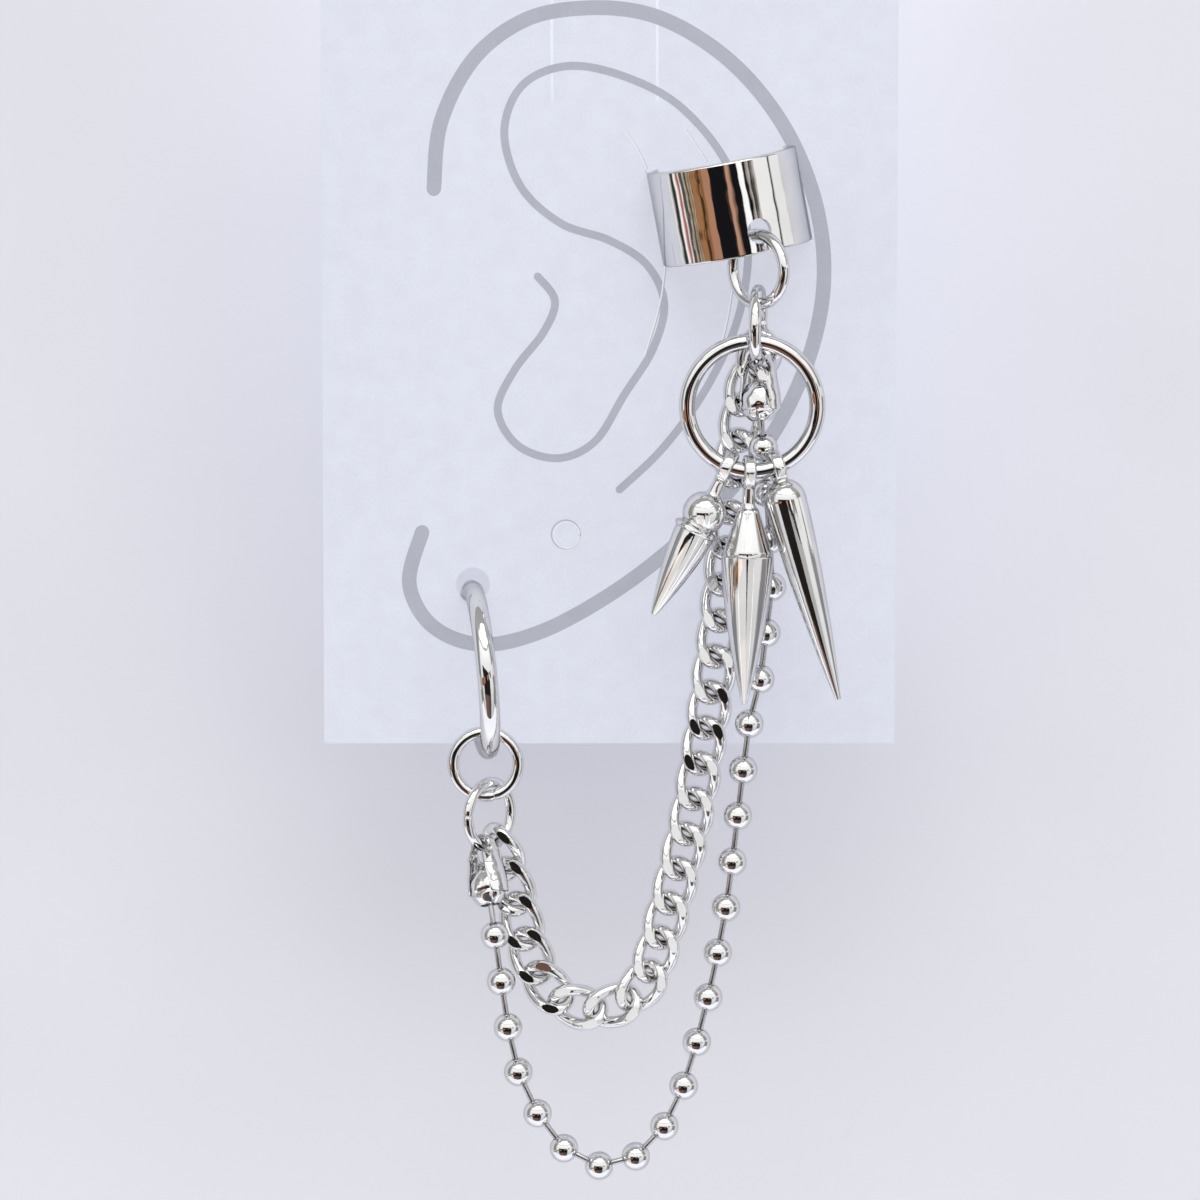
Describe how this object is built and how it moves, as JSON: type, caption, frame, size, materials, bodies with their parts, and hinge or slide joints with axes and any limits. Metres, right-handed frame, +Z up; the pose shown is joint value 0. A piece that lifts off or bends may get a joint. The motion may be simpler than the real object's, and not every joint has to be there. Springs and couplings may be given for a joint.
{
  "type": "ear chain earring on a display card",
  "caption": "Ear cuff and hoop joined by a curb chain and a ball chain, with a large ring of spike drops, hung through a display card.",
  "frame": {"origin": "centre of the card's hang hole, in the middle of the card's thickness", "axes": "+Z up along the card's long edge, +X to the right as the card is read, and the face that carries the jewel looks along -Y"},
  "size_m": [0.04, 0.0138, 0.0909],
  "materials": {
    "card": "smooth matte white board",
    "silver": "polished silver-coloured plating"
  },
  "bodies": {
    "card_and_chains": {"display_card": "card", "ear_cuff": "silver", "cuff_ring": "silver", "link_ring": "silver", "curb_chain": "silver", "ball_chain_beads": "silver", "ball_chain_pins": "silver", "ball_tip_upper": "silver", "ball_tip_lower": "silver", "hoop": "silver", "hoop_ring_upper": "silver", "hoop_ring_lower": "silver"},
    "pendant_ring": {"large_ring": "silver"},
    "short_drop": {"spike_short": "silver"},
    "middle_drop": {"spike_middle": "silver"},
    "long_drop": {"spike_long": "silver"}
  },
  "joints": [
    {"name": "pendant_swing", "type": "hinge", "parent": "card_and_chains", "child": "pendant_ring", "pos_m": [0.0101, -0.00676, -0.02769], "axis": [-1, 0, 0], "range_deg": [0, 45]},
    {"name": "short_swing", "type": "hinge", "parent": "pendant_ring", "child": "short_drop", "pos_m": [0.00812, -0.00676, -0.03631], "axis": [-0.9272, 0, 0.3746], "range_deg": [0, 30]},
    {"name": "middle_swing", "type": "hinge", "parent": "pendant_ring", "child": "middle_drop", "pos_m": [0.00959, -0.00676, -0.03664], "axis": [-0.999, 0, 0.0454], "range_deg": [0, 30]},
    {"name": "long_swing", "type": "hinge", "parent": "pendant_ring", "child": "long_drop", "pos_m": [0.01147, -0.00676, -0.03631], "axis": [-0.9272, 0, -0.3746], "range_deg": [0, 30]}
  ]
}
